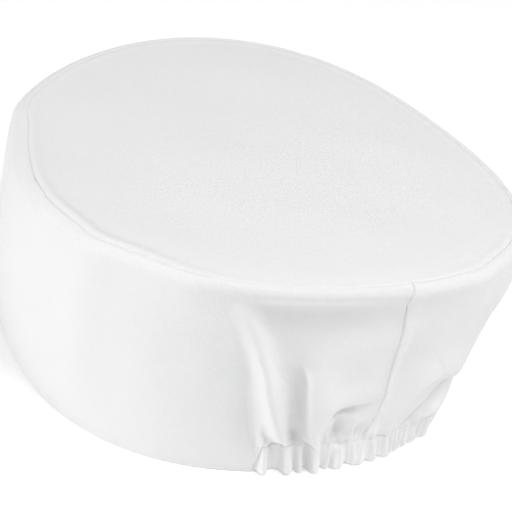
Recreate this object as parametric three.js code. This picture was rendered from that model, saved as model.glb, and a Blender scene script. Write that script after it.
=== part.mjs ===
// Kitchen skull cap: a flat oval crown panel, a side band closed by a seam at the back, and a gathered
// elastic casing along the back of the hem. The cap stands on its hem and is open underneath.
// Millimetres, +Z up. The wearer faces -Y, so the back is +Y and the wearer's left is +X.
// Angles are degrees around the cap, from +X towards the back, which is at 90.

import * as THREE from 'three';

// Cloth and clearances.
const CLOTH = 1.2; // wall of twill and its turnings
const GAP = 0.3; // between pieces that are sewn together
const WHITE = { crown: '#e9e9ea', band: '#f1f1f1', casing: '#eeeeef' };

// Outline of the crown seam and of the hem: a circle with a few waves round it, and for the crown a
// straight run of seam at the front left.
const CROWN = {
  centreX: -2.5, centreY: 2.6, radius: 95.3, height: 84.8,
  waves: [
    { count: 2, swell: 3.2, at: 80 },
    { count: 3, swell: 2.6, at: 10 },
    { count: 4, swell: 1.4, at: 49 },
  ],
  flat: { depth: 3.8, at: -28, half: 17 },
  lift: { swell: 2.1, at: 61 }, // the seam runs a little higher at the back left and front right
};
const HEM = {
  centreX: -2.1, centreY: -6.1, radius: 89.2, height: 0,
  waves: [
    { count: 2, swell: 5.5, at: 72 },
    { count: 3, swell: 2.5, at: -7 },
    { count: 4, swell: 2.8, at: 36 },
  ],
};

// Crown panel: slightly domed, with a raised welt over the seam allowance round its rim.
const DOME = 1.6;
const WELT_WIDTH = 3;
const WELT_RISE = 0.9;
const ALLOWANCE_WIDTH = 9;
const ALLOWANCE_THICK = 1.1;
const CROWN_INSETS = [0, 0.9, 2.1, WELT_WIDTH, ALLOWANCE_WIDTH, 30, 60]; // rings, in from the rim
const CROWN_COLUMNS = 80;

// Side band: it rolls over a rounded shoulder just outside the seam, then falls to the hem.
const SHOULDER = 4.2;
const SHOULDER_SWELLS = [
  { at: -40, half: 55, out: 1.5 },
  { at: 55, half: 40, out: -1.6 },
];
const FRONT_BULGE = 2.2; // the band bellies out except where the elastic draws it in
const BACK_HALF = 50;
const HEM_TURN = 0.145; // share of the band's height that the turned-up hem takes
const BACK_SEAM = 91;
const SEAM_LIP = 0.6; // extra thickness of the seam allowance inside the back seam
const SEAM_LIP_HALF = 5;

// Elastic casing: the back of the hem, gathered into small rucks.
const CASING = {
  from: 64.3, to: 117, heightFrom: 13.5, heightTo: 11, thick: 4.2, // its ends, height and depth
  puff: 1.3, rucks: 17, ruck: 1.1, // how the cloth swells over the elastic, and its crests
};

// Cross-section of the casing, down its outer face and up its inner one: depth into its thickness,
// puff as a share of the swell over the elastic, and height as a share of the casing's.
const CASING_SECTION = [
  { depth: 0.15, puff: 0, up: 1 },
  { depth: 0, puff: 0.7, up: 0.8 },
  { depth: 0, puff: 1, up: 0.45 },
  { depth: 0, puff: 0.6, up: 0.12 },
  { depth: 0.1, puff: 0, up: 0 },
  { depth: 0.75, puff: 0, up: 0 },
  { depth: 1, puff: -0.4, up: 0.15 },
  { depth: 1, puff: -0.6, up: 0.45 },
  { depth: 1, puff: -0.3, up: 0.8 },
  { depth: 0.65, puff: 0, up: 1 },
];

// Folds of the back of the band, one row each. A fold runs from its first place through its second to
// its third, each a pair of angle and height. rise is how far its crest stands out, or sinks in when
// negative; left and right are its widths on the two sides, looking along the run from outside.
const FOLDS = [
  { name: 'tuck under the shoulder', run: [[46, 76], [68, 75], [92, 78]], rise: -1.7, left: 4, right: 7 },
  { name: 'left hollow', run: [[54, 52], [57, 36], [61, 14]], rise: -2.2, left: 5, right: 8 },
  { name: 'left ridge', run: [[54, 72], [61, 46], [68, 13]], rise: 2.5, left: 4, right: 5 },
  { name: 'deep pleat', run: [[67, 50], [70, 28], [72, 13]], rise: -4.6, left: 3.5, right: 4 },
  { name: 'sharp ridge', run: [[70, 52], [75, 30], [79, 12]], rise: 3.2, left: 6.5, right: 3 },
  { name: 'swag', run: [[77, 33], [83, 37], [90, 39]], rise: 2.6, left: 10, right: 3.5 },
  { name: 'pocket under the swag', run: [[80, 17], [82, 24], [88, 25]], rise: -3.4, left: 4, right: 4.5 },
  { name: 'right fold', run: [[109, 37], [101.5, 28], [97, 12]], rise: 3.2, left: 3, right: 7 },
  { name: 'right pocket', run: [[113, 32], [106, 22], [101, 12]], rise: -2.6, left: 4, right: 4 },
  { name: 'right puff', run: [[117, 16], [114, 12], [111, 8]], rise: 1.6, left: 4, right: 4 },
  { name: 'right hollow', run: [[137, 34], [128, 27], [119, 20]], rise: -3.2, left: 7, right: 9 },
  { name: 'right swell', run: [[118, 66], [132, 62], [148, 58]], rise: 2.2, left: 12, right: 14 },
];
const GATHER_FADE = 7; // height above the casing over which its rucks die out in the band

// Fineness of the meshes. The band is cut at the back seam and over the two ends of the casing; crowd
// draws the columns of a span towards its ends, where the folds are.
const BAND_SPANS = [
  { from: BACK_SEAM, to: CASING.to, steps: 14, crowd: 0 },
  { from: CASING.to, to: CASING.from + 360, steps: 66, crowd: 0.3 },
  { from: CASING.from + 360, to: BACK_SEAM + 360, steps: 15, crowd: 0 },
];
const SHOULDER_TURNS = [0, 20, 40, 65]; // degrees rolled from the seam
const WALL_SHARES = [0, 0.1, 0.2, 0.3, 0.4, 0.5, 0.59, 0.68, 0.77, 0.85, 0.86, 1]; // from shoulder to hem
const CASING_COLUMNS = 85;

const { lerp, degToRad: radians, radToDeg: degrees } = THREE.MathUtils;
const SLIVER = degrees(GAP / HEM.radius); // the gap as an angle at the hem

// Signed difference of two angles, from -180 to 180.
function turnBetween(angle, from) {
  return THREE.MathUtils.euclideanModulo(angle - from + 180, 360) - 180;
}

function bell(angle, at, half) {
  return Math.exp(-((turnBetween(angle, at) / half) ** 2));
}

function outward(angle) {
  return new THREE.Vector3(Math.cos(radians(angle)), Math.sin(radians(angle)), 0);
}

function outlinePoint(outline, angle, inset = 0) {
  let radius = outline.radius - inset;
  for (const wave of outline.waves) {
    radius += wave.swell * Math.cos(wave.count * radians(angle - wave.at));
  }
  if (outline.flat) {
    const { depth, at, half } = outline.flat;
    radius -= depth * Math.exp(-((turnBetween(angle, at) / half) ** 4));
  }
  const point = outward(angle).multiplyScalar(radius);
  const lift = outline.lift ? outline.lift.swell * Math.cos(2 * radians(angle - outline.lift.at)) : 0;
  return point.add(new THREE.Vector3(outline.centreX, outline.centreY, outline.height + lift));
}

// How far along the casing an angle lies: 0 at its left end and 1 at its right end.
function casingShare(angle) {
  const middle = (CASING.from + CASING.to) / 2;
  return 0.5 + turnBetween(angle, middle) / (CASING.to - CASING.from);
}

// One ruck of the casing after another: 1 on a crest and 0 in the crease beside it.
function ruck(angle) {
  const along = casingShare(angle);
  if (along <= 0 || along >= 1) return 0;
  const count = CASING.rucks * along + 0.35 * Math.sin(11 * along) + 0.2 * Math.sin(29 * along);
  const ends = Math.min(1, 12 * along, 12 * (1 - along));
  return ends * Math.abs(Math.sin(Math.PI * count)) ** 0.7;
}

function casingHeight(angle) {
  return lerp(CASING.heightFrom, CASING.heightTo, THREE.MathUtils.clamp(casingShare(angle), 0, 1));
}

// The run of each fold as a smooth curve over the band, laid flat in millimetres.
const FOLD_STEPS = 24;
const flatPlace = ([angle, height]) => {
  const fromBack = radians(turnBetween(angle, 90));
  return new THREE.Vector2(fromBack * HEM.radius, height);
};
const foldRuns = FOLDS.map((fold) => {
  const [start, middle, end] = fold.run.map(flatPlace);
  const bend = middle.clone().multiplyScalar(2).sub(start.clone().add(end).multiplyScalar(0.5));
  return new THREE.QuadraticBezierCurve(start, bend, end).getPoints(FOLD_STEPS);
});

// How far all the folds together push the band out at one place.
function foldRise(angle, height) {
  const place = flatPlace([angle, height]);
  let total = 0;
  FOLDS.forEach((fold, index) => {
    const run = foldRuns[index];
    let nearest = 0;
    run.forEach((point, step) => {
      if (point.distanceTo(place) < run[nearest].distanceTo(place)) nearest = step;
    });
    const ahead = run[Math.min(nearest + 1, FOLD_STEPS)].clone().sub(run[Math.max(nearest - 1, 0)]);
    const side = ahead.cross(place.clone().sub(run[nearest]));
    const width = side > 0 ? fold.left : fold.right;
    const along = nearest / FOLD_STEPS;
    const ends = Math.min(1, 0.35 + 4 * along, 0.35 + 4 * (1 - along));
    total += fold.rise * ends * Math.exp(-((run[nearest].distanceTo(place) / width) ** 2));
  });
  return total;
}

function shoulderWidth(angle) {
  return SHOULDER_SWELLS.reduce((width, { at, half, out }) => width + out * bell(angle, at, half), SHOULDER);
}

// A point of the shoulder's outer face and its normal; turn is 0 at the seam and 90 on the wall.
function shoulderPlace(angle, turn) {
  const out = outward(angle);
  const width = shoulderWidth(angle);
  const roll = radians(turn);
  const point = outlinePoint(CROWN, angle).addScaledVector(out, width * Math.sin(roll));
  point.z -= (0.9 * width + 1) * (1 - Math.cos(roll));
  const normal = out.multiplyScalar(Math.sin(roll));
  normal.z = Math.cos(roll);
  return { point, normal };
}

// The wall before it bellies out or folds: straight from the hem, rise 0, to the shoulder, rise 1.
function plainWall(angle, rise) {
  return outlinePoint(HEM, angle).lerp(shoulderPlace(angle, 90).point, rise);
}

// A point of the wall's outer face and its normal.
function wallPlace(angle, rise) {
  const out = outward(angle);
  const point = plainWall(angle, rise);
  const belly = FRONT_BULGE * Math.sin(Math.PI * (1 - rise) ** 0.8) * (1 - bell(angle, 90, BACK_HALF));
  const aboveCasing = Math.max(0, point.z - casingHeight(angle));
  const gathers = CASING.ruck * ruck(angle) * Math.exp(-aboveCasing / GATHER_FADE);
  point.addScaledVector(out, belly + gathers + foldRise(angle, point.z));
  return { point, normal: out };
}

function clothMesh(name, points, faces, colour) {
  const geometry = new THREE.BufferGeometry();
  const positions = points.flatMap((point) => point.toArray());
  geometry.setAttribute('position', new THREE.Float32BufferAttribute(positions, 3));
  geometry.setIndex(faces);
  geometry.computeVertexNormals();
  const material = new THREE.MeshStandardMaterial({ color: colour, roughness: 0.95, metalness: 0 });
  const mesh = new THREE.Mesh(geometry, material);
  mesh.name = name;
  return mesh;
}

// Faces of a bent strip, from its cross-sections. Each section is a ring of as many points that runs
// down the outer skin and back up the inner one, so the caps are ladders between the two skins.
function stripFaces(rings) {
  const size = rings[0].length;
  const faces = [];
  for (let ring = 0; ring < rings.length - 1; ring += 1) {
    for (let step = 0; step < size; step += 1) {
      const after = (step + 1) % size;
      const [a, b] = [ring * size + step, ring * size + after];
      const [c, d] = [b + size, a + size];
      faces.push(a, b, c, a, c, d);
    }
  }
  const last = (rings.length - 1) * size;
  for (let step = 0; step < size / 2 - 1; step += 1) {
    const [a, b, c, d] = [step, step + 1, size - 2 - step, size - 1 - step];
    faces.push(a, c, b, a, d, c);
    faces.push(last + a, last + b, last + c, last + a, last + c, last + d);
  }
  return faces;
}

// A point of the crown's top face, or of its underside, some way in from the rim.
function crownPoint(angle, inset, isUnder) {
  const rim = outlinePoint(CROWN, angle, GAP);
  const middle = new THREE.Vector3(CROWN.centreX, CROWN.centreY, CROWN.height);
  const share = 1 - inset / CROWN.radius;
  const point = middle.lerp(rim, share);
  point.z += DOME * (1 - share ** 2);
  const welt = inset < WELT_WIDTH ? WELT_RISE * Math.sin(Math.PI * inset / WELT_WIDTH) : 0;
  const allowance = inset < ALLOWANCE_WIDTH ? ALLOWANCE_THICK : 0;
  point.z += isUnder ? -CLOTH - allowance : welt;
  return point;
}

function crownPanel() {
  const points = [];
  const faces = [];
  for (let column = 0; column < CROWN_COLUMNS; column += 1) {
    const angle = 360 * column / CROWN_COLUMNS;
    for (const inset of CROWN_INSETS) points.push(crownPoint(angle, inset, false));
    for (const inset of CROWN_INSETS) points.push(crownPoint(angle, inset, true));
  }
  const count = CROWN_INSETS.length;
  const top = points.push(new THREE.Vector3(CROWN.centreX, CROWN.centreY, CROWN.height + DOME)) - 1;
  const bottom = points.push(points[top].clone().setZ(CROWN.height + DOME - CLOTH)) - 1;
  const vertex = (column, ring) => (column % CROWN_COLUMNS) * 2 * count + ring;
  const quad = (a, b, c, d) => faces.push(a, b, c, a, c, d);
  for (let column = 0; column < CROWN_COLUMNS; column += 1) {
    const next = column + 1;
    for (let ring = 0; ring < count - 1; ring += 1) {
      quad(vertex(column, ring), vertex(next, ring), vertex(next, ring + 1), vertex(column, ring + 1));
      const under = ring + count;
      quad(vertex(column, under), vertex(column, under + 1), vertex(next, under + 1), vertex(next, under));
    }
    quad(vertex(column, 0), vertex(column, count), vertex(next, count), vertex(next, 0));
    faces.push(vertex(column, count - 1), vertex(next, count - 1), top);
    faces.push(vertex(next, 2 * count - 1), vertex(column, 2 * count - 1), bottom);
  }
  return clothMesh('crown_panel', points, faces, WHITE.crown);
}

// Angles of one span's columns, half a gap inside its ends.
function spanAngles({ from, to, steps, crowd }) {
  const middle = (from + to) / 2;
  const half = (to - from) / 2 - SLIVER / 2;
  return Array.from({ length: steps + 1 }, (_, step) => {
    const across = 2 * step / steps - 1;
    return middle + half * ((1 + crowd) * across - crowd * across ** 3);
  });
}

// One column of the band: down the outer skin from the seam, then up the inner one.
function bandRing(angle) {
  const over = Math.abs(casingShare(angle) - 0.5) < 0.5;
  const inSeam = Math.abs(turnBetween(angle, BACK_SEAM)) < SEAM_LIP_HALF;
  const shoulderHeight = plainWall(angle, 1).z;
  const floor = over ? (casingHeight(angle) + GAP) / shoulderHeight : 0;
  const outer = SHOULDER_TURNS.map((turn) => ({ ...shoulderPlace(angle, turn), thick: CLOTH }));
  for (const share of WALL_SHARES) {
    const single = inSeam ? CLOTH + SEAM_LIP : CLOTH;
    const thick = share > 1 - HEM_TURN && !over ? 2 * CLOTH : single;
    outer.push({ ...wallPlace(angle, lerp(1, floor, share)), thick });
  }
  const inner = outer.map(({ point, normal, thick }) => point.clone().addScaledVector(normal, -thick));
  return [...outer.map(({ point }) => point), ...inner.reverse()];
}

function sideBand() {
  const rings = BAND_SPANS.flatMap(spanAngles).map(bandRing);
  return clothMesh('side_band', rings.flat(), stripFaces(rings), WHITE.band);
}

// The casing: a flat tube, rucked on both faces, with a flat foot.
function elasticCasing() {
  const from = CASING.from + SLIVER;
  const to = CASING.to - SLIVER;
  const rings = Array.from({ length: CASING_COLUMNS + 1 }, (_, column) => {
    const angle = lerp(from, to, column / CASING_COLUMNS);
    const high = casingHeight(angle);
    const swell = CASING.puff + CASING.ruck * ruck(angle);
    const top = plainWall(angle, 1).z;
    return CASING_SECTION.map(({ depth, puff, up }) => {
      const away = puff * swell - depth * CASING.thick;
      return plainWall(angle, up * high / top).addScaledVector(outward(angle), away);
    });
  });
  return clothMesh('elastic_casing', rings.flat(), stripFaces(rings), WHITE.casing);
}

const cap = new THREE.Group();
cap.add(crownPanel(), sideBand(), elasticCasing());

export default cap;
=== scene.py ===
import math

import bpy
import numpy as np
from mathutils import Matrix, Vector


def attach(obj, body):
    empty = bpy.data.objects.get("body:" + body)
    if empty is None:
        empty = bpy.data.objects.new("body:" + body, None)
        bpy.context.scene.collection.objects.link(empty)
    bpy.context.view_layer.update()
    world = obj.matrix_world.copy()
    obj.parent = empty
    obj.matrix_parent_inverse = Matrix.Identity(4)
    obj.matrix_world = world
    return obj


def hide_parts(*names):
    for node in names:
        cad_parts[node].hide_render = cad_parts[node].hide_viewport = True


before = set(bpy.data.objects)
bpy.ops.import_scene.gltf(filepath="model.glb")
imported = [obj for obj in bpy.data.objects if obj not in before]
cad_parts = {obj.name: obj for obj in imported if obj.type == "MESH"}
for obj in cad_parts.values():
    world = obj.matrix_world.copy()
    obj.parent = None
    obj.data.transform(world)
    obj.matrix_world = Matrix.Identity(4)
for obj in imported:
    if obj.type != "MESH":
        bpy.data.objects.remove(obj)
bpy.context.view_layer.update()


# Camera. A long lens a metre away, behind the wearer's left side and a little above the crown.
# It is rolled, so that the cap seems to tip back on its hem.
AIM = Vector((-0.0023, 0.0028, 0.045))
AZIMUTH = math.radians(140.9)
ELEVATION = math.radians(28.5)
ROLL = math.radians(10.2)
CAMERA_DISTANCE = 1.042
SENSOR_WIDTH = 36  # millimetres, as is the lens
LENS = 191.2
SHIFT = (0.0217, -0.0076)

towards_camera = Vector((
    math.sin(AZIMUTH) * math.cos(ELEVATION),
    -math.cos(AZIMUTH) * math.cos(ELEVATION),
    math.sin(ELEVATION),
))
level_right = Vector((math.cos(AZIMUTH), math.sin(AZIMUTH), 0))
level_up = towards_camera.cross(level_right)
picture_right = level_right * math.cos(ROLL) + level_up * math.sin(ROLL)
picture_up = level_up * math.cos(ROLL) - level_right * math.sin(ROLL)

camera_data = bpy.data.cameras.new("camera")
camera_data.sensor_width = SENSOR_WIDTH
camera_data.lens = LENS
camera_data.shift_x, camera_data.shift_y = SHIFT
camera = bpy.data.objects.new("camera", camera_data)
camera_axes = Matrix((picture_right, picture_up, towards_camera)).transposed().to_4x4()
camera.matrix_world = Matrix.Translation(AIM + towards_camera * CAMERA_DISTANCE) @ camera_axes
bpy.context.collection.objects.link(camera)
bpy.context.scene.camera = camera


# Studio. A white floor under an even white sky, with wide soft lamps round and above the cap.
# The strongest hangs above its back, and the next stands low on the camera's left. The floor is
# bright enough to leave only a faint shadow at the hem.
SKY_STRENGTH = 0.18
LAMP_DISTANCE = 1.25
LAMP_SIZE = 0.6
LAMPS = [  # name, degrees round the cap, degrees above the floor, watts
    ("left_lamp", -20, 12, 7.6),
    ("high_lamp", 51, 60, 2.4),
    ("back_lamp", 90, 60, 9.0),
    ("right_lamp", 155, 40, 3.6),
    ("far_lamp", 230, 60, 0.9),
]
PURE_WHITE = (1, 1, 1, 1)
FLOOR_SIZE = 12.0
FLOOR_WHITE = (0.93, 0.93, 0.93, 1)
FLOOR_GLOW = 0.216

bpy.context.scene.view_settings.view_transform = "Standard"
sky = bpy.data.worlds.new("sky")
sky.use_nodes = True
sky.node_tree.nodes["Background"].inputs["Color"].default_value = PURE_WHITE
sky.node_tree.nodes["Background"].inputs["Strength"].default_value = SKY_STRENGTH
bpy.context.scene.world = sky

for lamp_name, degrees_round, degrees_up, watts in LAMPS:
    round_angle = math.radians(degrees_round)
    height_angle = math.radians(degrees_up)
    reach = Vector((
        math.cos(round_angle) * math.cos(height_angle),
        math.sin(round_angle) * math.cos(height_angle),
        math.sin(height_angle),
    ))
    lamp_data = bpy.data.lights.new(lamp_name, "AREA")
    lamp_data.energy = watts
    lamp_data.size = LAMP_SIZE
    lamp = bpy.data.objects.new(lamp_name, lamp_data)
    lamp.location = AIM + reach * LAMP_DISTANCE
    lamp.rotation_euler = reach.to_track_quat("Z", "Y").to_euler()
    bpy.context.collection.objects.link(lamp)

floor_paint = bpy.data.materials.new("floor_paint")
floor_paint.use_nodes = True
floor_shader = floor_paint.node_tree.nodes["Principled BSDF"]
floor_shader.inputs["Base Color"].default_value = FLOOR_WHITE
floor_shader.inputs["Roughness"].default_value = 0.9
floor_shader.inputs["Specular IOR Level"].default_value = 0.1
floor_shader.inputs["Emission Color"].default_value = PURE_WHITE
floor_shader.inputs["Emission Strength"].default_value = FLOOR_GLOW

floor_mesh = bpy.data.meshes.new("floor")
half_floor = FLOOR_SIZE / 2
floor_corners = [(-half_floor, -half_floor, 0), (half_floor, -half_floor, 0),
                 (half_floor, half_floor, 0), (-half_floor, half_floor, 0)]
floor_mesh.from_pydata(floor_corners, [], [(0, 1, 2, 3)])
floor_mesh.materials.append(floor_paint)
floor = bpy.data.objects.new("floor", floor_mesh)
bpy.context.collection.objects.link(floor)


# Crown panel. One oval of white twill, nearly flat, sewn to the band all round its rim.
# The turnings of the seam lie under its edge: they lift a soft ridge there on the left, and at the
# back the panel rolls over them into the seam. Sizes are in millimetres from here on.
CROWN_CENTRE = (-2.5, 2.6)
CROWN_RADIUS = 95.3
CROWN_HEIGHT = 84.8
CROWN_WAVES = [  # times round, swell, and the angle where it is widest
    (2, 3.2, 80),
    (3, 2.6, 10),
    (4, 1.4, 49),
]
STRAIGHT_RUN = {"depth": 3.8, "at": -28, "half": 17}
SEAM_WANDERS = [  # at, half, out
    (-33, 11, -0.9),
    (-7, 6, -1.2),
    (18.5, 6, 2.3),
    (42, 7, 1.0),
    (80, 12, -0.8),
    (108.5, 5, 1.2),
]
SEAM_LIFT = {"swell": 2.1, "at": 61}
CROWN_DOME = 1.6
CROWN_SLACK = {"rise": 0.35, "length": 62, "free": 14}  # free: how far in from the rim it can lift
SLACK_WAVES = [  # weight, direction, share of the length, start
    (0.45, 0.3, 1.25, 0.0),
    (0.35, 1.4, 1.08, 1.7),
    (0.3, 2.3, 0.91, 3.4),
    (0.25, 2.9, 0.74, 5.1),
    (0.2, 0.9, 0.57, 6.8),
]
CLOTH = 1.2  # thickness
RIM = [  # angle, ridge height, ridge width, roll into the seam, depth of the crease
    (-90, 0.25, 4.6, 0.2, 0.16),
    (-60, 0.35, 4.2, 0.1, 0.16),
    (-30, 0.60, 4.4, 0.0, 0.28),
    (-8, 0.75, 4.8, 0.0, 0.38),
    (10, 0.75, 5.6, 0.0, 0.28),
    (22, 0.65, 6.0, 0.1, 0.16),
    (32, 0.48, 5.4, 0.3, 0.10),
    (42, 0.35, 4.4, 0.6, 0.22),
    (54, 0.10, 4.2, 0.9, 0.20),
    (72, 0.00, 4.0, 1.1, 0.30),
    (92, 0.05, 4.0, 1.0, 0.40),
    (104, 0.25, 4.0, 0.7, 0.25),
    (116, 0.45, 4.0, 0.4, 0.25),
    (170, 0.30, 4.4, 0.5, 0.16),
    (250, 0.30, 4.6, 0.4, 0.16),
]
RIDGE_LEAN = 0.75
RIDGE_ROUND = 1.4
CREASE_HALF = 0.4
ROLL_WIDTH = 5.0
RIM_PUCKERS = {"rise": 0.07, "many": 71, "few": 13, "start": 1, "inset": 3, "half": 3}
RIM_DIP = {"depth": 0.3, "inset": 7, "half": 3.4, "at": 20, "along": 16}
CROWN_STEP = 0.75  # degrees
CROWN_INSETS = np.array([
    0, 0.15, 0.3, 0.5, 0.8, 1.2, 1.6, 2.0, 2.4, 2.9, 3.4, 4.2, 5.2, 6.4, 8, *np.linspace(10, 91, 26),
])
CROWN_BIAS = 12  # degrees that the weave is turned on the panel
WHITE_TWILL = (0.80, 0.80, 0.805, 1)
RIB_VALLEY_PAINTED_SHADE = (0.93, 0.93, 0.935)  # the ribs' valleys, as a share of the tint: painted shade in the weave's hollows
WAVE_REPEAT = math.pi / 10  # one wave of the texture at a scale of 1
RIB_SLANT = 45
RIB_PITCH = 0.72
YARN_PITCH = RIB_PITCH * 0.7
YARN_DEPTH = 0.4
YARN_LEVEL = 0.5
SLUB_DEPTH = 0.35
CUT_EDGE_ANGLE = math.radians(68)  # faces that meet at more than this show a cut edge
MILLIMETRE = 0.001  # in metres


def turn_between(angle, start):
    """Degrees from start to angle, the short way round."""
    return (angle - start + 180) % 360 - 180


def bell(angle, at, half):
    """1 at an angle, falling off smoothly on both sides."""
    return np.exp(-(turn_between(angle, at) / half) ** 2)


def outward(angle):
    """The level direction out of the cap at an angle round it."""
    return np.stack([np.cos(np.radians(angle)), np.sin(np.radians(angle)), 0 * angle], -1)


def seam_place(angle):
    """The crown seam: an oval with a few soft corners and a straight run at the front left."""
    radius = CROWN_RADIUS + 0 * angle
    for times, swell, at in CROWN_WAVES:
        radius = radius + swell * np.cos(times * np.radians(angle - at))
    straight = turn_between(angle, STRAIGHT_RUN["at"]) / STRAIGHT_RUN["half"]
    radius = radius - STRAIGHT_RUN["depth"] * np.exp(-straight ** 4)
    radius = radius + sum(out * bell(angle, at, half) for at, half, out in SEAM_WANDERS)
    place = outward(angle) * radius[..., None]
    place[..., 0] += CROWN_CENTRE[0]
    place[..., 1] += CROWN_CENTRE[1]
    place[..., 2] = CROWN_HEIGHT + SEAM_LIFT["swell"] * np.cos(2 * np.radians(angle - SEAM_LIFT["at"]))
    return place


def rim_value(angle, column):
    """One column of the RIM table at any angle round the seam."""
    table = np.array(RIM)
    return np.interp(angle, table[:, 0], table[:, column], period=360)


def seam_crease(angle, away):
    """How far cloth sinks at the seam, away millimetres from it."""
    return rim_value(angle, 4) * np.exp(-(away / CREASE_HALF) ** 2)


def slack(u, v, length):
    """Gentle unevenness of lying cloth, about -1 to 1, with waves about length long."""
    total = 0
    for weight, turn, share, start in SLACK_WAVES:
        along = u * math.cos(turn) + v * math.sin(turn)
        total = total + weight * np.sin(2 * math.pi * along / (length * share) + start)
    return total


def crown_rise(angle, inset):
    """Height of the crown over a flat oval: ridge, roll and crease at the rim, faint unevenness."""
    share = 1 - inset / CROWN_RADIUS
    x = share * CROWN_RADIUS * np.cos(np.radians(angle))
    y = share * CROWN_RADIUS * np.sin(np.radians(angle))
    across = np.clip(inset / rim_value(angle, 2), 0, 1)
    ridge = rim_value(angle, 1) * np.sin(np.pi * across ** RIDGE_LEAN) ** RIDGE_ROUND
    roll = -rim_value(angle, 3) * np.exp(-(inset / ROLL_WIDTH) ** 2)
    many = np.sin(np.radians(angle) * RIM_PUCKERS["many"])
    few = np.sin(np.radians(angle) * RIM_PUCKERS["few"] + RIM_PUCKERS["start"])
    beside = np.exp(-((inset - RIM_PUCKERS["inset"]) / RIM_PUCKERS["half"]) ** 2)
    pucker = RIM_PUCKERS["rise"] * (many * few) * beside
    behind = np.exp(-((inset - RIM_DIP["inset"]) / RIM_DIP["half"]) ** 2)
    dip = -RIM_DIP["depth"] * behind * bell(angle, RIM_DIP["at"], RIM_DIP["along"])
    rise = CROWN_DOME * (1 - share ** 2) + ridge + roll + pucker + dip
    free = 1 - np.exp(-(inset / CROWN_SLACK["free"]) ** 2)
    unevenness = CROWN_SLACK["rise"] * free * slack(x, y, CROWN_SLACK["length"])
    return rise - seam_crease(angle, inset) + unevenness


def crown_place(angle, inset, below=0.0):
    """The crown's upper face, inset millimetres in from its seam, or a place below it."""
    rim = seam_place(angle)
    share = 1 - inset / CROWN_RADIUS
    place = np.empty(rim.shape)
    for axis, centre in enumerate(CROWN_CENTRE):
        place[..., axis] = centre + (rim[..., axis] - centre) * share
    place[..., 2] = CROWN_HEIGHT + (rim[..., 2] - CROWN_HEIGHT) * share ** 2
    place[..., 2] += crown_rise(angle, inset) - below
    return place


def twill(name, tint, bias):
    """White twill: fine slanting ribs crossed by yarns, a matt face and a breath of fuzz."""
    cloth = bpy.data.materials.new(name)
    cloth.use_nodes = True
    nodes, links = cloth.node_tree.nodes, cloth.node_tree.links
    shader = nodes["Principled BSDF"]
    shader.inputs["Roughness"].default_value = 0.9
    shader.inputs["Specular IOR Level"].default_value = 0.2
    shader.inputs["Sheen Weight"].default_value = 0.12
    shader.inputs["Sheen Roughness"].default_value = 0.5

    cut = nodes.new("ShaderNodeUVMap")
    cut.uv_map = "cut"

    def wave(turn, pitch, distortion):
        lay = nodes.new("ShaderNodeMapping")
        lay.inputs["Rotation"].default_value = (0, 0, math.radians(turn))
        links.new(cut.outputs["UV"], lay.inputs["Vector"])
        lines = nodes.new("ShaderNodeTexWave")
        lines.inputs["Scale"].default_value = WAVE_REPEAT / pitch
        lines.inputs["Distortion"].default_value = distortion
        lines.inputs["Detail"].default_value = 1.0
        lines.inputs["Detail Scale"].default_value = 0.6
        links.new(lay.outputs["Vector"], lines.inputs["Vector"])
        return lines.outputs["Fac"]

    def mixed(kind, *parts):
        node = nodes.new("ShaderNodeMath")
        node.operation = kind
        for socket, value in zip(node.inputs, parts):
            if isinstance(value, (int, float)):
                socket.default_value = value
            else:
                links.new(value, socket)
        return node.outputs["Value"]

    ribs = wave(RIB_SLANT + bias, RIB_PITCH, 0.6)
    yarns = wave(bias, YARN_PITCH, 0.4)
    slub = nodes.new("ShaderNodeTexNoise")
    slub.inputs["Scale"].default_value = 0.9
    slub.inputs["Detail"].default_value = 3.0
    links.new(cut.outputs["UV"], slub.inputs["Vector"])
    crossed = mixed("MULTIPLY", ribs, mixed("MULTIPLY_ADD", yarns, YARN_DEPTH, YARN_LEVEL))
    weave = mixed("ADD", crossed, mixed("MULTIPLY", slub.outputs["Fac"], SLUB_DEPTH))

    bump = nodes.new("ShaderNodeBump")
    bump.inputs["Strength"].default_value = 0.55
    bump.inputs["Distance"].default_value = 0.00012
    links.new(weave, bump.inputs["Height"])
    links.new(bump.outputs["Normal"], shader.inputs["Normal"])

    # Base colour: darker in the ribs' valleys, which is painted shade, with random tone from the
    # slubs.
    shade = nodes.new("ShaderNodeMix")
    shade.data_type = "RGBA"
    shade.inputs["A"].default_value = (*[part * share for part, share in zip(tint, RIB_VALLEY_PAINTED_SHADE)], 1)
    shade.inputs["B"].default_value = tint
    links.new(weave, shade.inputs["Factor"])
    links.new(shade.outputs["Result"], shader.inputs["Base Color"])
    return cloth


def sewn_piece(name, points, faces, cut_places, finish, cad_nodes):
    """One closed piece of cloth or thread, each corner also placed on its flat cut for the weave."""
    mesh = bpy.data.meshes.new(name)
    mesh.from_pydata((points * MILLIMETRE).tolist(), [], faces)
    mesh.materials.append(finish)
    mesh.polygons.foreach_set("use_smooth", [True] * len(mesh.polygons))
    mesh.set_sharp_from_angle(angle=CUT_EDGE_ANGLE)
    corners = np.empty(len(mesh.loops), dtype=int)
    mesh.loops.foreach_get("vertex_index", corners)
    cut = mesh.uv_layers.new(name="cut")
    cut.data.foreach_set("uv", cut_places[corners].ravel())
    piece = bpy.data.objects.new(name, mesh)
    bpy.context.collection.objects.link(piece)
    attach(piece, "root")
    if cad_nodes:
        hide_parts(*cad_nodes)
    return piece


def ring_faces(columns, rows, first=0, turned=False):
    """Quads of a grid of points kept column by column, whose last column meets its first."""
    faces = []
    for column in range(columns):
        after = (column + 1) % columns
        for row in range(rows - 1):
            a = first + column * rows + row
            d = first + after * rows + row
            faces.append((a, d, d + 1, a + 1) if turned else (a, a + 1, d + 1, d))
    return faces


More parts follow.
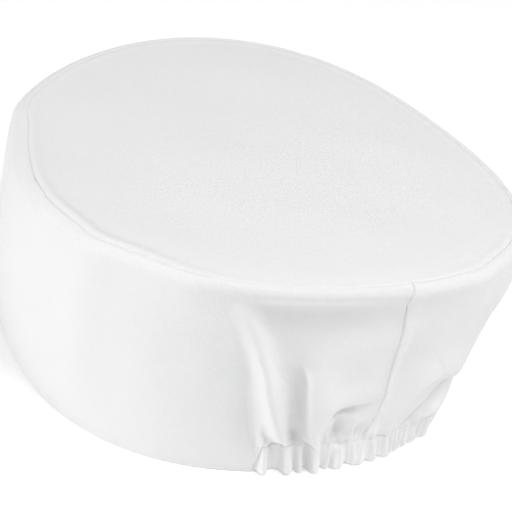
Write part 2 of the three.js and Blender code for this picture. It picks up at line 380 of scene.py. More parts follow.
def closed_tube(columns, turned=False):
    """Points column by column, each column a ring, with quads between and a cap at each end."""
    count, rows = columns.shape[:2]
    faces = []
    for column in range(count - 1):
        for row in range(rows):
            after = (row + 1) % rows
            a, b = column * rows + row, column * rows + after
            faces.append((a, a + rows, b + rows, b) if turned else (a, b, b + rows, a + rows))
    first, last = tuple(range(rows)), tuple(range((count - 1) * rows, count * rows))
    faces += [first, last[::-1]] if turned else [first[::-1], last]
    return columns.reshape(-1, 3), faces


angle_grid, inset_grid = np.meshgrid(np.arange(0, 360, CROWN_STEP), CROWN_INSETS, indexing="ij")
crown_top = crown_place(angle_grid, inset_grid)
crown_under = crown_place(angle_grid, inset_grid, CLOTH)
columns, rows = angle_grid.shape
middle = np.array([*CROWN_CENTRE, 0.0])
middle_top = middle + [0, 0, crown_top[:, -1, 2].mean()]
crown_points = np.concatenate([
    crown_top.reshape(-1, 3), crown_under.reshape(-1, 3), [middle_top, middle_top - [0, 0, CLOTH]],
])

# the upper and lower faces, joined by a cut edge at the rim and closed at the middle
under = columns * rows
crown_faces = ring_faces(columns, rows, turned=True)
crown_faces += ring_faces(columns, rows, first=under)
for column in range(columns):
    after = (column + 1) % columns
    outer, next_outer = column * rows, after * rows
    crown_faces.append((outer, under + outer, under + next_outer, next_outer))
    last, next_last = outer + rows - 1, next_outer + rows - 1
    crown_faces.append((last, next_last, 2 * under))
    crown_faces.append((under + next_last, under + last, 2 * under + 1))
crown = sewn_piece(
    "crown_panel_cloth", crown_points, crown_faces, crown_points[:, :2],
    twill("crown_twill", WHITE_TWILL, CROWN_BIAS), ["crown_panel"],
)


# Crown seam allowance. The turnings of the crown and the band, trimmed to one width and overlocked
# together. They lie flat under the rim of the crown, where only the wearer sees them.
ALLOWANCE_WIDTH = 8.6
ALLOWANCE_THICK = 1.0
ALLOWANCE_TOP = CLOTH + 0.05  # a hair below the panel, which it lies against
ALLOWANCE_STEP = 1.5  # degrees
ALLOWANCE_INSETS = np.array([0.4, 2, 4, 6, 7.6, 8.4, ALLOWANCE_WIDTH])
ALLOWANCE_RIPPLE = {"rise": 0.12, "times": 47}
ALLOWANCE_BIAS = 30
OVERLOCK_BITE = 4.6
OVERLOCK_PITCH = 0.55  # degrees round the seam
OVERLOCK_LOOP = [  # inset and depth under the top of the turnings, beat by beat
    (OVERLOCK_BITE, ALLOWANCE_THICK + 0.15),
    (ALLOWANCE_WIDTH, ALLOWANCE_THICK + 0.1),
    (ALLOWANCE_WIDTH + 0.15, ALLOWANCE_THICK / 2),
    (ALLOWANCE_WIDTH, 0.2),
]
OVERLOCK_EDGE = ALLOWANCE_THICK + 0.1  # depth of the straight thread under the same top
THREAD_WHITE = (0.86, 0.86, 0.855, 1)
THREAD_RADIUS = 0.16
THREAD_SIDES = 6
THREAD_END = 0.4  # share of its thickness that is left at its two ends
THREAD_STEP = 0.6  # millimetres of cut from point to point, for the twist


def thread_finish(name):
    """Spun polyester thread: two plies twisted together, a little shinier than the cloth."""
    spun = bpy.data.materials.new(name)
    spun.use_nodes = True
    nodes, links = spun.node_tree.nodes, spun.node_tree.links
    shader = nodes["Principled BSDF"]
    shader.inputs["Base Color"].default_value = THREAD_WHITE
    shader.inputs["Roughness"].default_value = 0.6
    shader.inputs["Sheen Weight"].default_value = 0.1
    cut = nodes.new("ShaderNodeUVMap")
    cut.uv_map = "cut"
    twist = nodes.new("ShaderNodeTexWave")
    twist.bands_direction = "DIAGONAL"
    twist.inputs["Scale"].default_value = 1.6
    links.new(cut.outputs["UV"], twist.inputs["Vector"])
    bump = nodes.new("ShaderNodeBump")
    bump.inputs["Strength"].default_value = 0.5
    bump.inputs["Distance"].default_value = 0.00005
    links.new(twist.outputs["Fac"], bump.inputs["Height"])
    links.new(bump.outputs["Normal"], shader.inputs["Normal"])
    return spun


def thread_columns(path):
    """Rings of points round a path of thread, thinner at its two ends."""
    nearly_up = [0.05, 0.02, 1.0]
    ahead = np.gradient(path, axis=0)
    ahead /= np.linalg.norm(ahead, axis=1, keepdims=True)
    across = np.cross(ahead, nearly_up)
    across /= np.linalg.norm(across, axis=1, keepdims=True)
    upright = np.cross(across, ahead)
    turns = np.linspace(0, 2 * math.pi, THREAD_SIDES, endpoint=False)[:, None]
    size = np.full((len(path), 1, 1), THREAD_RADIUS)
    size[[0, -1]] *= THREAD_END
    ring = across[:, None] * np.cos(turns) + upright[:, None] * np.sin(turns)
    return path[:, None] + size * ring


def thread_piece(name, paths, finish):
    """All the stitches of one row as one piece."""
    points, faces, cut = [], [], []
    for path in paths:
        first = sum(len(part) for part in points)
        tube_points, tube_faces = closed_tube(thread_columns(path), turned=True)
        points.append(tube_points)
        faces += [tuple(first + corner for corner in face) for face in tube_faces]
        along, around = np.meshgrid(np.arange(len(path)), np.arange(THREAD_SIDES), indexing="ij")
        cut.append(np.stack([along, around], -1).reshape(-1, 2) * THREAD_STEP)
    points, cut = np.concatenate(points), np.concatenate(cut)
    return sewn_piece(name, points, faces, cut, finish, [])


strip_angles = np.arange(0, 360, ALLOWANCE_STEP)
angle_grid, inset_grid = np.meshgrid(strip_angles, ALLOWANCE_INSETS, indexing="ij")
ripple = ALLOWANCE_RIPPLE["rise"] * np.sin(np.radians(angle_grid) * ALLOWANCE_RIPPLE["times"])
strip_top = crown_place(angle_grid, inset_grid, ALLOWANCE_TOP)
strip_foot = crown_place(angle_grid, inset_grid, ALLOWANCE_TOP + ALLOWANCE_THICK)
strip_foot[..., 2] += ripple * inset_grid / ALLOWANCE_WIDTH
strip_columns = np.concatenate([strip_top, strip_foot[:, ::-1]], axis=1)
columns, rows = strip_columns.shape[:2]
strip_faces = []
for column in range(columns):
    after_column = (column + 1) % columns
    for row in range(rows):
        after = (row + 1) % rows
        a, b = column * rows + row, column * rows + after
        c, d = after_column * rows + after, after_column * rows + row
        strip_faces.append((d, c, b, a))
strip_points = strip_columns.reshape(-1, 3)
sewn_piece(
    "crown_seam_allowance", strip_points, strip_faces, strip_points[:, :2],
    twill("allowance_twill", WHITE_TWILL, ALLOWANCE_BIAS), [],
)

loop_angles = np.arange(0, 360 + OVERLOCK_PITCH, OVERLOCK_PITCH)
loop_insets, loop_sink = np.resize(OVERLOCK_LOOP, (len(loop_angles), 2)).T
loop_path = crown_place(loop_angles, loop_insets, ALLOWANCE_TOP)
loop_path[:, 2] -= loop_sink
edge_path = crown_place(loop_angles, OVERLOCK_BITE + 0 * loop_angles, ALLOWANCE_TOP)
edge_path[:, 2] -= OVERLOCK_EDGE
thread_piece(
    "crown_overlock_thread", [loop_path, edge_path], thread_finish("overlock_thread"),
)


# Side band. A long strip of the same twill, folded along the hem and joined to itself at the back.
# It rolls over a round shoulder beside the crown seam. Its front stands smooth, and at the back the
# elastic draws it into the folds of the table below, each a run of stations from head to foot.
HEM_CENTRE = (-2.1, -6.1)
HEM_RADIUS = 89.2
HEM_WAVES = [  # times round, swell, and the angle where it is widest
    (2, 5.5, 72),
    (3, 2.5, -7),
    (4, 2.8, 36),
]
SHOULDER_WIDTH = 4.2
SHOULDER_DROP = {"share": 0.9, "more": 1}
SHOULDER_SWELLS = [  # at, half, out
    (-40, 55, 1.5),
    (55, 40, -1.6),
]
SHOULDER_CREASES = [  # angle at the crown seam, angle at the wall, depth, half width
    (-10.5, -15, 0.55, 0.9),
    (-54, -58, 0.4, 0.9),
    (26, 30, 0.2, 1.6),
    (152, 156, 0.4, 1.4),
    (228, 224, 0.4, 1.6),
]
SEAM_BITE = 1.5  # how far from the crown seam it still pulls the shoulder down
BELLY = {"out": 2.2, "lean": 0.8, "flat at": 90, "flat half": 50}
BAND_SLACK = {"rise": 0.2, "length": 48}
SHOULDER_FOOT = 6.0  # the folds die away over this height under the shoulder
BACK_SEAM = 91.0
SEAM_SWAY = [  # height, how far the back seam leans along the band there, in degrees
    (0, -0.2),
    (13, -0.6),
    (18, -0.4),
    (24, 0.5),
    (32, 0.7),
    (42, -0.2),
    (52, -0.6),
    (66, -0.6),
    (74, -1.3),
    (81, -2.5),
    (86, -1.7),
]
SEAM_WANDER_HALF = 4
SEAM_LIP = {"rise": 0.8, "left": 1.4, "right": 5}
SEAM_GROOVE = {"depth": 0.8, "half": 0.35}
CASING_FROM, CASING_TO = 65.2, 117.0
CASING_HEIGHTS = (13.5, 11.0)  # where it starts and where it ends
CASING_SET_BACK = 0.45
CASING_HOLD = {"above": 2.2, "crests": 0.85}  # the elastic holds folds in, but not under a ruck
STITCH_DENT = {"depth": 0.03, "half": 0.8}
RUCK_TAPER = 0.45
RUCK_TOP = {"up": 1.4, "above": 4.5}  # where the rucks stop slanting, and how far up they fade out
RUCK_BLUNT = 4
CREST_RISE = 2  # a ruck that stands out this far counts as a full crest
RUCKS = [  # angle at the hem, angle at the stitch line, rise, half width
    (67.5, 66.1, 3.3, 1.6),
    (70.4, 68.7, -1.3, 2.6),
    (73.3, 71.4, 3.4, 2),
    (75.6, 73.5, -0.8, 0.7),
    (76.4, 74.5, 2.4, 1.3),
    (78.1, 76.3, -1.2, 1),
    (80, 78.1, 3.8, 1.8),
    (81.8, 80.4, -0.8, 0.8),
    (83, 82.4, 1.7, 0.8),
    (84.1, 83.4, -0.5, 0.5),
    (85.3, 83.8, 2.2, 1.4),
    (86.7, 84.9, 2.4, 0.9),
    (88.7, 86.6, -1, 0.7),
    (90.3, 88.3, 1.4, 0.8),
    (92, 89.8, 1.6, 1.7),
    (95.7, 93.4, 2.3, 1),
    (97.6, 95.2, -0.6, 0.6),
    (99.5, 97.3, 2.3, 1),
    (101.2, 99.7, 1.6, 0.7),
    (102.7, 101.2, 1.8, 0.8),
    (104.2, 102.9, 1.7, 0.8),
    (106.1, 104.5, 2, 0.9),
    (107.6, 106, -1.6, 9.5),
    (109.7, 107.2, 2.2, 1.1),
    (111.3, 110.6, 1.7, 0.9),
    (113.7, 113.1, 2.3, 1.3),
]
# Each fold has a lean, how far its crest slides over sideways, a firmness, which steepens its
# flanks, and stations of angle, height, rise and two widths. The widths are to its left and right
# where it runs down the band, and under and over it where it runs along.
FOLDS = {
    "tuck under the shoulder": (0, 2, [
        (48, 75, -0.8, 7, 8), (56, 73.5, -3.4, 13, 8.5), (64, 73, -5, 19, 9), (73, 72, -5, 14, 9.5),
        (82, 71.5, -3.7, 11, 10), (92, 71.5, -1.6, 9, 10), (104, 72, -0.5, 9, 9),
    ]),
    "left hollow": (0, 2, [
        (54.6, 59.5, -0.9, 9, 4), (57.4, 49, -2.8, 9, 4), (58.2, 38.5, -3.7, 9, 4),
        (59.6, 29.5, -3.9, 9, 4), (61.6, 20.5, -3, 9, 3), (63.2, 12.5, -1.1, 9, 2),
    ]),
    "left ridge": (0, 2.2, [
        (51.8, 79, 0.5, 4.2, 4), (53.6, 74, 2.4, 4.2, 4), (56, 67.5, 3.6, 4.2, 3.8),
        (58.4, 60.5, 4.2, 4, 3.8), (60.2, 53, 4.5, 3.8, 4), (61.8, 46, 4.6, 3.5, 4.4),
        (63.4, 38, 4.7, 3.4, 5), (65.4, 30, 4.8, 3.4, 5.4), (67.2, 23.5, 4.8, 3.2, 4.6),
        (69.4, 17, 4.3, 3, 3),
    ]),
    "small ridge beside it": (0, 2, [
        (63.2, 27, 0.2, 1, 1), (63.4, 23.5, 0.9, 1.1, 1.1), (63.8, 19.5, 1.6, 1.2, 1.2),
        (64.6, 15.5, 1.4, 1.3, 1.3),
    ]),
    "crease at the end of the casing": (0, 2, [
        (63.2, 27, -0.2, 0.9, 1), (63.4, 21, -0.8, 0.9, 1), (63.8, 16, -1, 0.9, 1),
        (64, 11, -0.3, 0.9, 0.9),
    ]),
    "upper pit": (0, 2, [
        (58.8, 66.5, -0.3, 3, 8), (60.8, 59, -0.9, 3, 11), (64, 51, -1.9, 3.2, 11),
        (67.2, 43.5, -3.3, 3.4, 6.6), (69.2, 36.5, -3.4, 3.4, 4.6), (70.6, 31, -2, 3.4, 3.8),
    ]),
    "lower pit": (0, 2, [
        (69.8, 30.5, -1, 2.8, 3.4), (71, 24, -2.7, 3.2, 3.8), (72.2, 18, -3.8, 3.4, 3.8),
        (73.2, 14, -2.8, 2.8, 3.2), (74.2, 11.5, -1.2, 1.8, 2.2),
    ]),
    "sharp ridge": (-0.8, 2.6, [
        (70.4, 49, 0.8, 3, 8), (71.4, 44.5, 2.5, 3, 9), (72.1, 40, 3.6, 2.8, 9),
        (72.9, 34, 4.2, 2.2, 9), (74, 28, 4.8, 2, 6.8), (75.2, 22.5, 5.1, 2.3, 5.4),
        (76.4, 17.5, 4.6, 2.1, 3.4), (77.4, 14, 3.6, 1.8, 2.2),
    ]),
    "rim of the sharp ridge": (-0.3, 2, [
        (69.2, 51, 0.2, 0.8, 1.2), (70.5, 47.5, 0.9, 0.8, 1.2), (71.2, 44, 1.5, 0.8, 1.2),
        (71.7, 39, 1.5, 0.8, 1.2), (72.5, 33.5, 1.3, 0.8, 1.2), (73.3, 27.5, 0.9, 0.8, 1.2),
        (74.1, 22.5, 0.4, 0.8, 1.2),
    ]),
    "swag": (-0.3, 2, [
        (78.8, 25.5, 1.4, 1.4, 3), (78.4, 30, 2.4, 1.6, 4), (79.2, 32.5, 2.8, 2, 5),
        (81.2, 34, 2.6, 2.4, 6), (84.6, 34.5, 2, 2.8, 7), (87.8, 34, 1, 3, 7),
    ]),
    "hollow under the swag": (0, 2, [
        (80.8, 27.8, -0.8, 2, 1.8), (82.6, 28.5, -1.3, 2.2, 2.2), (85, 29.5, -1.4, 2.8, 2.6),
        (87.6, 30.5, -1.1, 3, 2.6), (90, 31.5, -0.5, 3, 2.6),
    ]),
    "lip of the pocket": (0, 2, [
        (80.6, 20.5, 0.5, 0.8, 1.2), (80, 24, 0.9, 0.8, 1.2), (80.2, 26.4, 1.1, 0.8, 1.3),
        (81.8, 27.2, 1.1, 0.8, 1.4), (84.2, 26.4, 0.9, 0.9, 1.6), (87.4, 22.5, 0.4, 1.2, 2),
    ]),
    "pocket": (0, 2.4, [
        (82.4, 24.4, -2, 1.6, 2), (82.8, 19, -4, 2.1, 2.2), (83.6, 13, -3.4, 2, 2),
    ]),
    "right half of the pocket": (0, 2, [
        (88.4, 19.5, -1.6, 2, 2.2), (88.8, 15, -3, 1.9, 2.2), (88.4, 11.5, -1.8, 1.8, 2),
    ]),
    "ridge in the pocket": (0, 2, [
        (86.4, 22, 0.8, 1.1, 1.1), (86, 18, 1.9, 1, 1), (85.6, 14, 2.1, 1, 1),
    ]),
    "hollow beside the back seam": (0, 2, [
        (94.6, 76, -0.4, 3, 8), (94.8, 62, -1.4, 3, 8), (95, 46, -2.8, 2.8, 8), (95, 32, -3.2, 2.8, 7),
        (94, 20, -2, 2.4, 5),
    ]),
    "right fold": (0, 2, [
        (133, 15, 0.3, 7, 3), (110, 36, 1.3, 8, 2.6), (106.2, 37, 2.4, 8, 2.4),
        (102.2, 34.5, 3.1, 8, 2.2), (99.4, 27.5, 3.2, 7, 2), (97.4, 20.5, 2.7, 6, 2),
        (96.8, 16, 2, 4.5, 2), (96.6, 12, 1.2, 3, 1.6),
    ]),
    "valley behind it": (0, 2, [
        (118, 26, -0.8, 2.4, 3.2), (113.6, 28.4, -2.2, 2.6, 3.2), (110.8, 26.4, -3.4, 2.6, 3.2),
        (108.4, 22, -3.8, 2.6, 3.2), (105.6, 17.6, -3.5, 2.5, 3), (103.2, 13.4, -2.8, 2.4, 2.6),
        (101.4, 10.5, -1.2, 2, 2.2),
    ]),
    "right puff": (0, 2, [
        (122.4, 12.5, 0.3, 3, 4.4), (114.8, 16.5, 1.4, 3.2, 4.2), (110.6, 17, 2.6, 3, 3.8),
        (108, 14.5, 2.5, 2.8, 3.2), (105.6, 11.5, 1.6, 2.4, 2.8),
    ]),
    "crease in the puff": (0, 2, [
        (108.4, 18.5, -0.3, 0.8, 0.9), (107.8, 16, -1.1, 0.8, 0.9), (106.4, 11.5, -0.9, 0.8, 0.9),
    ]),
    "right hollow": (0, 2, [
        (142, 38, -0.4, 7, 8), (134, 32, -2.4, 6, 8), (128, 26.5, -3.8, 5.5, 7), (121, 21, -2.2, 4, 5),
    ]),
    "right ridge": (0, 2, [
        (139, 58, 0.3, 6, 6), (131, 46, 0.6, 5, 5), (125, 33, 0.4, 4, 5), (120, 20, 0.2, 3.5, 4),
    ]),
    "right swell": (0, 2, [
        (114, 66, 0.6, 10, 12), (128, 62, 2, 12, 12), (148, 56, 1.6, 12, 12), (166, 50, 0.4, 12, 12),
    ]),
    "soft dent left": (0, 2, [
        (39, 66, -0.3, 9, 10), (42, 52, -0.9, 9, 10), (44, 36, -0.5, 9, 10),
    ]),
    "soft dent low": (0, 2, [
        (25, 50, -0.2, 9, 10), (28, 34, -0.7, 9, 10), (30, 16, -0.3, 9, 10),
    ]),
    "soft dent front": (0, 2, [
        (4, 66, -0.2, 9, 11), (8, 50, -0.6, 9, 11), (10, 32, -0.3, 9, 11),
    ]),
    "soft dent far side": (0, 2, [
        (172, 64, -0.3, 9, 12), (178, 48, -1, 9, 12), (181, 28, -0.4, 9, 12),
    ]),
    "soft fold far side": (0, 2, [
        (152, 62, 0.2, 8, 8), (156, 40, 1, 7, 9), (158, 18, 0.5, 6, 9),
    ]),
}
RUN_STEPS = 28
FOLD_REACH = 3  # widths
HAIR = 0.004  # degrees left open at a cut end
ON_LINE = 0.02  # how far above the casing the band's folded edge lies
UNDER_BOW = 0.02  # share of a hem's roundness that its flat edge has over the casing
SHOULDER_TURNS = np.array([0, 2, 4, 7, 11, 16, 22, 29, 37, 46, 55, 64, 73, 82])
FOLD_TOP = 37.0  # from here down to LEVEL_HEIGHT the folds are closest and so are the rows
LEVEL_HEIGHT = 19.0  # below this the rows close up over the casing
UPPER_ROWS = 34
FOLD_ROWS = 30
LOW_ROWS = 16
HEM_TURNS = np.radians([30, 60, 90, 120, 150])
BAND_CUT_RADIUS = 94  # the strip's length, as the radius of a ring


def hem_place(angle):
    """The hem on the floor: an oval with a flatter back."""
    radius = HEM_RADIUS + 0 * angle
    for times, swell, at in HEM_WAVES:
        radius = radius + swell * np.cos(times * np.radians(angle - at))
    place = outward(angle) * radius[..., None]
    place[..., 0] += HEM_CENTRE[0]
    place[..., 1] += HEM_CENTRE[1]
    return place


def smooth_step(share):
    """From 0 to 1, flat at both ends."""
    share = np.clip(share, 0, 1)
    return share * share * (3 - 2 * share)


def casing_share(angle):
    """0 where the casing starts and 1 where it ends."""
    middle = (CASING_FROM + CASING_TO) / 2
    return 0.5 + turn_between(angle, middle) / (CASING_TO - CASING_FROM)


def casing_height(angle):
    start, end = CASING_HEIGHTS
    return start + (end - start) * np.clip(casing_share(angle), 0, 1)


def over_casing(angle):
    """1 over the length of the elastic, falling to 0 in its last degree at each end."""
    return smooth_step((0.5 - np.abs(casing_share(angle) - 0.5)) * (CASING_TO - CASING_FROM))


def ruck(angle, height):
    """The gathers of the casing: narrow ridges between flat bays, up past the stitch line."""
    total = 0 * angle
    up = height / casing_height(angle)
    flare = 1 - RUCK_TAPER * np.clip(up, 0, 1)
    for foot, head, rise, half in RUCKS:
        at = foot + (head - foot) * np.clip(up, 0, RUCK_TOP["up"])
        away = np.radians(turn_between(angle, at)) * HEM_RADIUS
        total = total + rise * np.exp(-(away / half) ** RUCK_BLUNT)
    above = np.clip(height - casing_height(angle), 0, None)
    return total * flare * np.exp(-(above / RUCK_TOP["above"]) ** 2)


def fold_run(stations):
    """A smooth curve through a fold's stations, with along in millimetres instead of degrees."""
    stations = np.array(stations, dtype=float)
    stations[:, 0] = np.radians(stations[:, 0] - 90) * HEM_RADIUS
    before = 2 * stations[0] - stations[1]
    after = 2 * stations[-1] - stations[-2]
    knots = np.concatenate([[before], stations, [after]])
    at = np.linspace(0, len(stations) - 1, RUN_STEPS)
    first = np.minimum(at.astype(int), len(stations) - 2)
    part = (at - first)[:, None]
    a, b, c, d = (knots[first + step] for step in range(4))
    return b + part / 2 * (c - a + part * (2 * a - 5 * b + 4 * c - d + part * (3 * (b - c) + d - a)))


def fold_push(angle, height):
    """How far the folds push the band out, and how far they slide it along and up."""
    place = np.stack([np.radians(turn_between(angle, 90)) * HEM_RADIUS, height], -1)
    push, slide = 0 * angle, np.zeros(place.shape)
    for lean, firmness, stations in FOLDS.values():
        run = fold_run(stations)
        reach = FOLD_REACH * run[:, 3:].max()
        low, high = run[:, :2].min(0) - reach, run[:, :2].max(0) + reach
        near = np.all((place > low) & (place < high), axis=-1)
        spot = place[near]
        best = np.full(len(spot), np.inf)
        nearest = np.zeros((len(spot), 5))
        side = np.zeros(len(spot))
        ahead = np.zeros((len(spot), 2))
        for start, end in zip(run, run[1:]):
            step = (end - start)[:2]
            part = np.clip((spot - start[:2]) @ step / (step @ step), 0, 1)
            away = spot - start[:2] - part[:, None] * step
            distance = np.hypot(away[:, 0], away[:, 1])
            closer = distance < best
            best = np.where(closer, distance, best)
            nearest[closer] = (start + part[:, None] * (end - start))[closer]
            step = step / np.hypot(*step)
            side[closer] = (step[0] * away[:, 1] - step[1] * away[:, 0])[closer]
            ahead[closer] = step
        share = 0.5 + 0.5 * side / np.maximum(best, 1e-6)
        width = nearest[:, 3] + (nearest[:, 4] - nearest[:, 3]) * share
        hump = nearest[:, 2] * np.exp(-(best / width) ** firmness)
        push[near] += hump
        normal = np.stack([-ahead[:, 1], ahead[:, 0]], -1)
        slide[near] += lean * (hump / np.abs(run[:, 2]).max())[:, None] * normal
    return push, slide


def shoulder_width(angle):
    return SHOULDER_WIDTH + sum(out * bell(angle, at, half) for at, half, out in SHOULDER_SWELLS)


def seam_lean(height):
    """How many degrees the back seam leans along the band at a height."""
    heights, lean = zip(*SEAM_SWAY)
    return np.interp(height, heights, lean)


def seam_sway(angle, height):
    """The angle itself, moved near the back seam so that the seam wanders down the band."""
    return angle + seam_lean(height) * bell(angle, BACK_SEAM, SEAM_WANDER_HALF)


def back_seam_step(angle, height):
    """The back seam stands up on its turnings, steep on its left, with a groove at the stitches."""
    side = turn_between(angle, BACK_SEAM + seam_lean(height)) * math.radians(HEM_RADIUS)
    width = np.where(side < 0, SEAM_LIP["left"], SEAM_LIP["right"])
    groove = SEAM_GROOVE["depth"] * np.exp(-(side / SEAM_GROOVE["half"]) ** 2)
    return SEAM_LIP["rise"] * np.exp(-(side / width) ** 2) - groove


def shoulder_height(angle, turn):
    """Height of the round shoulder: turn is 0 at the crown seam and 90 where the wall starts."""
    drop = SHOULDER_DROP["share"] * shoulder_width(angle) + SHOULDER_DROP["more"]
    return seam_place(angle)[..., 2] - drop * (1 - np.cos(np.radians(turn)))


def shoulder_place(angle, turn):
    """Outer face of the shoulder and its normal."""
    roll = np.radians(turn)
    reach = shoulder_width(angle) * np.sin(roll)
    place = seam_place(angle) + outward(angle) * reach[..., None]
    place[..., 2] = shoulder_height(angle, turn)
    normal = outward(angle) * np.sin(roll)[..., None]
    normal[..., 2] = np.cos(roll)
    sunk = seam_crease(angle, reach) + rim_value(angle, 3) * np.exp(-(reach / SEAM_BITE) ** 2)
    for at_seam, at_wall, depth, half in SHOULDER_CREASES:
        at = at_seam + (at_wall - at_seam) * np.sin(roll)
        away = np.radians(turn_between(angle, at)) * CROWN_RADIUS
        sunk = sunk + depth * np.exp(-(away / half) ** 2) * np.cos(roll / 2) ** 2
    sunk = sunk - back_seam_step(angle, place[..., 2]) * np.sin(roll) ** 0.5
    return place - normal * sunk[..., None], normal


def plain_wall(angle, rise):
    """The wall without folds or rucks, straight from the hem to the foot of the shoulder."""
    roll_end = seam_place(angle) + outward(angle) * shoulder_width(angle)[..., None]
    roll_end[..., 2] = shoulder_height(angle, 90)
    hem = hem_place(angle)
    return hem + (roll_end - hem) * rise[..., None]


def wall_place(angle, rise):
    """The band's outer face from the hem, rise 0, to the foot of the shoulder, rise 1."""
    place = plain_wall(angle, rise)
    height = place[..., 2]
    above = height - casing_height(angle)
    up = np.clip(height / casing_height(angle), 0, 1)
    gather = ruck(angle, height)
    crest = np.clip(gather / CREST_RISE, 0, 1) * up
    held = over_casing(angle) * np.exp(-(np.clip(above, 0, None) / CASING_HOLD["above"]) ** 2)
    stitched = over_casing(angle) * np.exp(-(above / STITCH_DENT["half"]) ** 2)
    push, slide = fold_push(angle, height)
    to_shoulder = (1 - rise) * height / np.maximum(rise, 0.1)
    push = push * smooth_step(to_shoulder / SHOULDER_FOOT)
    belly = BELLY["out"] * np.sin(np.pi * np.clip(1 - rise, 0, 1) ** BELLY["lean"])
    uneven = slack(np.radians(angle) * HEM_RADIUS, height, BAND_SLACK["length"])
    out = belly * (1 - bell(angle, BELLY["flat at"], BELLY["flat half"]))
    out = out + push * (1 - held * (1 - CASING_HOLD["crests"] * crest)) + gather
    out = out + BAND_SLACK["rise"] * uneven * np.sin(np.pi * np.clip(rise, 0, 1))
    out = out + back_seam_step(angle, height) - STITCH_DENT["depth"] * stitched
    out = out - CASING_SET_BACK * held * up
    place = place + outward(angle) * out[..., None]
    along = np.stack([-np.sin(np.radians(angle)), np.cos(np.radians(angle))], -1)
    place[..., :2] += along * (slide[..., :1] * (1 - held)[..., None])
    place[..., 2] += slide[..., 1] * (1 - held)
    return place


def spaced(start, end, step):
    """Even places from start to end, about step apart."""
    return np.linspace(start, end, max(2, int(round(abs(end - start) / step)) + 1))


def flat_cut(columns, along):
    """Where each point lies on the flat strip: along it, and down its own column."""
    steps = np.linalg.norm(np.diff(columns, axis=1), axis=2)
    down = np.concatenate([np.zeros((len(columns), 1)), np.cumsum(steps, axis=1)], axis=1)
    return np.stack([np.repeat(along[:, None], columns.shape[1], axis=1), down], -1).reshape(-1, 2)


band_angles = np.concatenate([
    BACK_SEAM + np.array([HAIR, 0.12, 0.25, 0.4, 0.6]),
    spaced(91.85, CASING_TO - HAIR, 0.28),
    spaced(CASING_TO + HAIR, 150, 0.6),
    spaced(151, 386, 1.3),
    spaced(387, 410, 0.7),
    spaced(410.5, 360 + CASING_FROM - HAIR, 0.35),
    spaced(360 + CASING_FROM + HAIR, 450.15, 0.28),
    360 + BACK_SEAM - np.array([0.6, 0.4, 0.25, 0.12, HAIR]),
])
over = np.abs(casing_share(band_angles) - 0.5) < 0.5
top_height = plain_wall(band_angles, 1 + 0 * band_angles)[:, 2]
line = np.where(over, casing_height(band_angles) + ON_LINE, CLOTH / 2)
upper_share = np.linspace(0, 1, UPPER_ROWS + 1)[:-1]
low_share = np.linspace(0, 1, LOW_ROWS + 1)[1:]
heights = np.concatenate([
    top_height[:, None] + (FOLD_TOP - top_height)[:, None] * upper_share,
    np.tile(np.linspace(FOLD_TOP, LEVEL_HEIGHT, FOLD_ROWS), (len(band_angles), 1)),
    LEVEL_HEIGHT + (line - LEVEL_HEIGHT)[:, None] * low_share,
], axis=1)
angle_grid, turn_grid = np.meshgrid(band_angles, SHOULDER_TURNS, indexing="ij")
shoulder_sway = seam_sway(angle_grid, shoulder_height(angle_grid, turn_grid))
shoulder, shoulder_normal = shoulder_place(shoulder_sway, turn_grid.astype(float))
angle_grid = np.repeat(band_angles[:, None], heights.shape[1], axis=1)
wall = wall_place(seam_sway(angle_grid, heights), heights / top_height[:, None])
outer = np.concatenate([shoulder, wall], axis=1)
normal = np.concatenate([shoulder_normal, outward(angle_grid)], axis=1)
inner = (outer - normal * CLOTH)[:, ::2]
fold_edge = []
for turn in HEM_TURNS:
    edge = outer[:, -1] - normal[:, -1] * (CLOTH / 2 * (1 - math.cos(turn)))
    edge[:, 2] -= CLOTH / 2 * math.sin(turn) * np.where(over, UNDER_BOW, 1)
    fold_edge.append(edge)
band_columns = np.concatenate([outer, np.stack(fold_edge, axis=1), inner[:, ::-1]], axis=1)
band_points, band_faces = closed_tube(band_columns)
band = sewn_piece(
    "side_band_cloth", band_points, band_faces,
    flat_cut(band_columns, np.radians(band_angles) * BAND_CUT_RADIUS),
    twill("band_twill", WHITE_TWILL, 0), ["side_band"],
)


# Elastic casing. The back of the hem, sewn off as a tube round a flat elastic that draws it up
# into narrow rucks with flat bays between them. It is the same folded twill, and it meets the band
# at the stitch line.
CASING_DEPTH = 4.6
STITCHED_DEPTH = 3.1
FILL_HEIGHT = 2.2  # the casing fills out over this height below its stitch line
INNER_RUCKS = {"share": 0.4, "lag": 1.6}
SCALLOP = 0.25  # how far the hem lifts between rucks
HEM_ROLL = 1.6
CASING_STEP = 0.18  # degrees
CASING_ROWS = 15
CASING_ROLLS = np.radians(np.arange(15, 91, 15))
CREST_LEVEL = 0.3  # share of the casing's height where its crests are measured
GATHER_ROW = 7  # the row along which the gathered length is measured
CASING_PAINTED_LIGHT_TINT = (0.85, 0.85, 0.855, 1)  # a little lighter than the band: painted light, which lifts the casing that the lamps leave darker than the wall


def up_wall(angle, height):
    """The plain wall at a height instead of a rise."""
    return plain_wall(angle, height / plain_wall(angle, 1 + 0 * angle)[..., 2])


def outer_depth(angle, height):
    """How far the band's outer face stands out of the plain wall."""
    rise = height / plain_wall(angle, 1 + 0 * angle)[..., 2]
    return np.sum((wall_place(angle, rise) - plain_wall(angle, rise)) * outward(angle), axis=-1)


def inner_depth(angle, height):
    """The same for the inner face of the casing, which fills out below its stitch line."""
    filled = 1 - np.exp(-((casing_height(angle) - height) / FILL_HEIGHT) ** 2)
    deep = STITCHED_DEPTH + (CASING_DEPTH - STITCHED_DEPTH) * filled
    return -deep - INNER_RUCKS["share"] * np.clip(ruck(angle - INNER_RUCKS["lag"], height), 0, None)


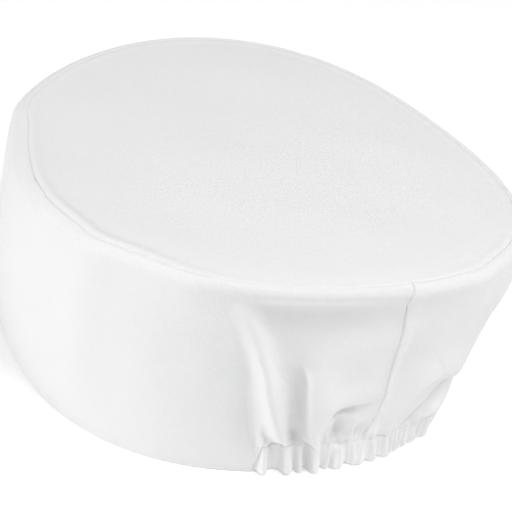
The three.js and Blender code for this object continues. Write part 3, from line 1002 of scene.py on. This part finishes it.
casing_angles = spaced(CASING_FROM + HAIR, CASING_TO - HAIR, CASING_STEP)
high = casing_height(casing_angles)
crest = np.clip(ruck(casing_angles, CREST_LEVEL * high) / CREST_RISE, 0, 1)
low = SCALLOP * (1 - crest) * over_casing(casing_angles)
face_share = 1 - np.linspace(0, 1, CASING_ROWS)
face_up = low[:, None] + HEM_ROLL + (high - low - HEM_ROLL)[:, None] * face_share
roll_up = low[:, None] + HEM_ROLL * (1 - np.sin(CASING_ROLLS))
face_angle = np.repeat(casing_angles[:, None], face_up.shape[1], axis=1)
roll_angle = np.repeat(casing_angles[:, None], roll_up.shape[1], axis=1)
out_low = outer_depth(casing_angles, low + HEM_ROLL)[:, None]
in_low = inner_depth(casing_angles, low + HEM_ROLL)[:, None]
tuck_under = (out_low - in_low) / 2 * (1 - np.cos(CASING_ROLLS))
casing_rows = [  # down the outer face, under the hem and up the inner face
    (face_angle, face_up, outer_depth(face_angle, face_up)),
    (roll_angle, roll_up, out_low - tuck_under),
    (roll_angle[:, 1:], roll_up[:, -2::-1], (in_low + tuck_under)[:, -2::-1]),
    (face_angle[:, ::2], face_up[:, ::-2], inner_depth(face_angle[:, ::2], face_up[:, ::-2])),
]
casing_columns = np.concatenate([
    up_wall(angle, height) + outward(angle) * depth[..., None] for angle, height, depth in casing_rows
], axis=1)
casing_points, casing_faces = closed_tube(casing_columns)
gathered = np.linalg.norm(np.diff(casing_columns[:, GATHER_ROW], axis=0), axis=1)
# The casing's tint is lighter than the band's: painted light on the casing.
casing = sewn_piece(
    "elastic_casing_cloth", casing_points, casing_faces,
    flat_cut(casing_columns, np.concatenate([[0], np.cumsum(gathered)])),
    twill("casing_twill", CASING_PAINTED_LIGHT_TINT, 0), ["elastic_casing"],
)


# Casing stitches. One row of lockstitch through both faces of the casing, just under its top,
# which keeps the elastic in its tube. The gathers pull the stitches closer than they were sewn.
STITCH_FROM = CASING_FROM + 0.4
STITCH_TO = CASING_TO - 0.8
STITCH_ANGLE = 1.02  # degrees from one stitch to the next
STITCH_LENGTH = 0.8  # share of that; over the rest the thread is inside the cloth
STITCH_POINTS = 7
STITCH_BELOW = 0.1
STITCH_PROUD = 0.1
STITCH_DIVE = 0.28

stitch_paths = []
along = np.linspace(0, 1, STITCH_POINTS)
for start in np.arange(STITCH_FROM, STITCH_TO, STITCH_ANGLE):
    angles = start + STITCH_ANGLE * STITCH_LENGTH * along
    heights = casing_height(angles) - STITCH_BELOW
    proud = STITCH_PROUD - STITCH_DIVE * (2 * along - 1) ** 4
    for depth in (outer_depth(angles, heights) + proud, inner_depth(angles, heights) - proud):
        stitch_paths.append(up_wall(angles, heights) + outward(angles) * depth[:, None])
thread_piece("casing_stitches", stitch_paths, thread_finish("casing_thread"))
